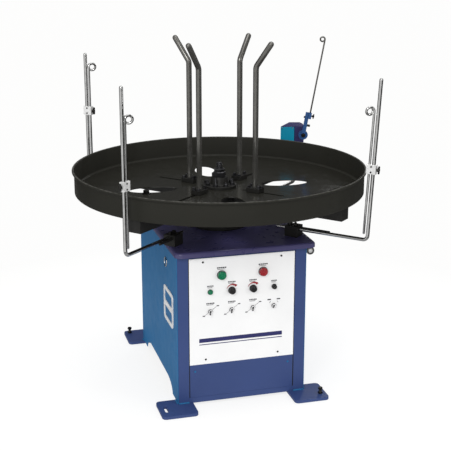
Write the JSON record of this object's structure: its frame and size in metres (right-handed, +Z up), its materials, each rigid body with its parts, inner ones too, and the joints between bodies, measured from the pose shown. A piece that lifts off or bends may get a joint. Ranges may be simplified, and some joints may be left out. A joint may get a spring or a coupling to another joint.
{
  "type": "motorised wire pay-off stand",
  "caption": "Powered horizontal turntable pan on a sheet-metal cabinet, with upright coil posts, adjustable wire guide rods with eyes and a wire-tension switch.",
  "frame": {"origin": "on the floor under the turntable axis", "axes": "+Z up along the turntable axis, -Y towards the front control panel"},
  "size_m": [1.0085, 0.9984, 1.174],
  "materials": {
    "blue_paint": "satin powder coat",
    "violet_blue_paint": "satin powder coat",
    "black_paint": "satin black enamel",
    "dark_chrome": "dark polished plating",
    "chrome": "bright plating",
    "black_steel": "blackened steel",
    "white_panel": "smooth white paint",
    "teal_paint": "smooth paint",
    "machined_steel": "turned",
    "grey_cast": "painted casting",
    "belt_rubber": "matt",
    "green_plastic": "glossy",
    "red_plastic": "glossy",
    "black_plastic": "moulded",
    "bright_steel": "nickel plated"
  },
  "bodies": {
    "stand": {"base_frame": "blue_paint", "left_panel": "blue_paint", "right_panel": "blue_paint", "rear_panel": "blue_paint", "front_apron": "blue_paint", "top_plate": "violet_blue_paint", "cable_gland": "chrome", "cable_conduit": "grey_cast", "control_panel": "white_panel", "power_lamp": "green_plastic", "fuse_holder": "black_plastic", "bearing_housing": "black_paint", "main_bearing": "machined_steel", "drive_belt": "belt_rubber", "gear_motor": "grey_cast", "speed_controller": "grey_cast", "rod_holder_front_left": "black_paint", "rod_holder_front_right": "black_paint", "rod_holder_rear_left": "black_paint", "rod_holder_rear_right": "black_paint"},
    "turntable": {"main_shaft": "machined_steel", "driven_pulley": "machined_steel", "cross_arms": "black_paint", "pan_floor": "black_paint", "pan_rim": "black_paint", "hub_flange": "black_paint"},
    "motor_pulley": {"drive_pulley": "machined_steel"},
    "post_rear_right": {"coil_post_rear_right": "dark_chrome"},
    "post_rear_left": {"coil_post_rear_left": "dark_chrome"},
    "post_front_left": {"coil_post_front_left": "dark_chrome"},
    "post_front_right": {"coil_post_front_right": "dark_chrome"},
    "guide_front_left": {"guide_rod_front_left": "chrome"},
    "clamp_front_left": {"guide_clamp_front_left": "chrome"},
    "eye_front_left": {"eye_rod_front_left": "chrome"},
    "screw_front_left": {"wing_screw_front_left": "black_steel"},
    "guide_front_right": {"guide_rod_front_right": "chrome"},
    "clamp_front_right": {"guide_clamp_front_right": "chrome"},
    "eye_front_right": {"eye_rod_front_right": "chrome"},
    "screw_front_right": {"wing_screw_front_right": "black_steel"},
    "guide_rear_left": {"guide_rod_rear_left": "chrome"},
    "clamp_rear_left": {"guide_clamp_rear_left": "chrome"},
    "eye_rear_left": {"eye_rod_rear_left": "chrome"},
    "screw_rear_left": {"wing_screw_rear_left": "black_steel"},
    "switch": {"sensor_mast": "chrome", "sensor_box": "teal_paint"},
    "lever": {"sensor_lever": "violet_blue_paint"},
    "sensing_rod": {"sensing_rod": "dark_chrome"},
    "lever_screw": {"lever_screw": "black_steel"},
    "start_button": {"start_button": "green_plastic"},
    "stop_button": {"stop_button": "red_plastic"},
    "speed_knob_left": {"speed_knob_left": "black_plastic"},
    "speed_knob_right": {"speed_knob_right": "black_plastic"},
    "toggle_feed": {"toggle_feed": "bright_steel"},
    "toggle_mode": {"toggle_mode": "bright_steel"},
    "toggle_brake": {"toggle_brake": "bright_steel"},
    "toggle_direction": {"toggle_direction": "bright_steel"},
    "foot_bolt_front_right": {"foot_bolt_front_right": "black_steel"},
    "foot_bolt_rear_left": {"foot_bolt_rear_left": "black_steel"},
    "foot_bolt_rear_right": {"foot_bolt_rear_right": "black_steel"}
  },
  "joints": [
    {"name": "turntable_spin", "type": "hinge", "parent": "stand", "child": "turntable", "pos_m": [0, 0, 0.68], "axis": [0, 0, 1], "continuous": true},
    {"name": "motor_pulley_spin", "type": "hinge", "parent": "stand", "child": "motor_pulley", "pos_m": [0, 0.172, 0.46], "axis": [0, 0, 1], "continuous": true},
    {"name": "post_slide_rear_right", "type": "slide", "parent": "turntable", "child": "post_rear_right", "axis": [0.7455, 0.6665, 0], "range_m": [-0.031, 0.119]},
    {"name": "post_slide_rear_left", "type": "slide", "parent": "turntable", "child": "post_rear_left", "axis": [-0.6665, 0.7455, 0], "range_m": [-0.023, 0.127]},
    {"name": "post_slide_front_left", "type": "slide", "parent": "turntable", "child": "post_front_left", "axis": [-0.7455, -0.6665, 0], "range_m": [-0.023, 0.127]},
    {"name": "post_slide_front_right", "type": "slide", "parent": "turntable", "child": "post_front_right", "axis": [0.6665, -0.7455, 0], "range_m": [-0.044, 0.106]},
    {"name": "rod_reach_front_left", "type": "slide", "parent": "stand", "child": "guide_front_left", "axis": [-0.742, -0.6704, 0], "range_m": [-0.004, 0.05]},
    {"name": "clamp_height_front_left", "type": "slide", "parent": "guide_front_left", "child": "clamp_front_left", "axis": [0, 0, 1], "range_m": [0, 0.18]},
    {"name": "eye_height_front_left", "type": "slide", "parent": "clamp_front_left", "child": "eye_front_left", "axis": [0, 0, 1], "range_m": [0, 0.15]},
    {"name": "wing_turn_front_left", "type": "hinge", "parent": "clamp_front_left", "child": "screw_front_left", "pos_m": [-0.40067, -0.36203, 0.779], "axis": [-0.742, -0.6704, 0], "range_deg": [-90, 270]},
    {"name": "rod_reach_front_right", "type": "slide", "parent": "stand", "child": "guide_front_right", "axis": [0.6921, -0.7218, 0], "range_m": [-0.004, 0.05]},
    {"name": "clamp_height_front_right", "type": "slide", "parent": "guide_front_right", "child": "clamp_front_right", "axis": [0.035, -0.0365, 0.9987], "range_m": [0, 0.18]},
    {"name": "eye_height_front_right", "type": "slide", "parent": "clamp_front_right", "child": "eye_front_right", "axis": [0.035, -0.0365, 0.9987], "range_m": [0, 0.15]},
    {"name": "wing_turn_front_right", "type": "hinge", "parent": "clamp_front_right", "child": "screw_front_right", "pos_m": [0.39717, -0.41417, 0.79419], "axis": [0.6913, -0.7208, -0.0506], "range_deg": [-90, 270]},
    {"name": "rod_reach_rear_left", "type": "slide", "parent": "stand", "child": "guide_rear_left", "axis": [-0.7108, 0.7034, 0], "range_m": [-0.004, 0.05]},
    {"name": "clamp_height_rear_left", "type": "slide", "parent": "guide_rear_left", "child": "clamp_rear_left", "axis": [0, 0, 1], "range_m": [-0.05, 0.18]},
    {"name": "eye_height_rear_left", "type": "slide", "parent": "clamp_rear_left", "child": "eye_rear_left", "axis": [0, 0, 1], "range_m": [0, 0.15]},
    {"name": "wing_turn_rear_left", "type": "hinge", "parent": "clamp_rear_left", "child": "screw_rear_left", "pos_m": [-0.37459, 0.37069, 0.885], "axis": [0.7108, -0.7034, 0], "range_deg": [-90, 270]},
    {"name": "mast_reach", "type": "slide", "parent": "stand", "child": "switch", "axis": [0.7071, 0.7071, 0], "range_m": [-0.02, 0.05]},
    {"name": "lever_swing", "type": "hinge", "parent": "switch", "child": "lever", "pos_m": [0.43484, 0.37375, 0.753], "axis": [0.2672, 0.9636, 0], "range_deg": [-35, 12], "stiffness_Nm_per_rad": 1.2},
    {"name": "rod_length", "type": "slide", "parent": "lever", "child": "sensing_rod", "axis": [0.1673, -0.0464, 0.9848], "range_m": [-0.02, 0.004]},
    {"name": "lever_screw_turn", "type": "hinge", "parent": "lever", "child": "lever_screw", "pos_m": [0.46122, 0.35813, 0.82698], "axis": [0.949, -0.2632, -0.1736], "range_deg": [-90, 270]},
    {"name": "start_press", "type": "slide", "parent": "stand", "child": "start_button", "axis": [0, 1, 0], "range_m": [0, 0.004], "stiffness_N_per_m": 400},
    {"name": "stop_press", "type": "slide", "parent": "stand", "child": "stop_button", "axis": [0, 1, 0], "range_m": [0, 0.004], "stiffness_N_per_m": 400},
    {"name": "speed_turn_left", "type": "hinge", "parent": "stand", "child": "speed_knob_left", "pos_m": [-0.036, -0.284, 0.392], "axis": [0, -1, 0], "range_deg": [-150, 150]},
    {"name": "speed_turn_right", "type": "hinge", "parent": "stand", "child": "speed_knob_right", "pos_m": [0.036, -0.284, 0.392], "axis": [0, -1, 0], "range_deg": [-150, 150]},
    {"name": "toggle_feed_flip", "type": "hinge", "parent": "stand", "child": "toggle_feed", "pos_m": [-0.108, -0.286, 0.325], "axis": [-0.7071, 0, 0.7071], "range_deg": [0, 48]},
    {"name": "toggle_mode_flip", "type": "hinge", "parent": "stand", "child": "toggle_mode", "pos_m": [-0.036, -0.286, 0.325], "axis": [-0.7071, 0, 0.7071], "range_deg": [0, 48]},
    {"name": "toggle_brake_flip", "type": "hinge", "parent": "stand", "child": "toggle_brake", "pos_m": [0.036, -0.286, 0.325], "axis": [-0.7071, 0, 0.7071], "range_deg": [0, 48]},
    {"name": "toggle_direction_flip", "type": "hinge", "parent": "stand", "child": "toggle_direction", "pos_m": [0.108, -0.286, 0.325], "axis": [0, 0, 1], "range_deg": [0, 48]},
    {"name": "foot_bolt_rise_front_right", "type": "slide", "parent": "stand", "child": "foot_bolt_front_right", "axis": [0, 0, 1], "range_m": [0, 0.009]},
    {"name": "foot_bolt_rise_rear_left", "type": "slide", "parent": "stand", "child": "foot_bolt_rear_left", "axis": [0, 0, 1], "range_m": [0, 0.009]},
    {"name": "foot_bolt_rise_rear_right", "type": "slide", "parent": "stand", "child": "foot_bolt_rear_right", "axis": [0, 0, 1], "range_m": [0, 0.009]}
  ],
  "couplings": [
    {"joint": "motor_pulley_spin", "follows": "turntable_spin", "ratio": 2.9688}
  ]
}
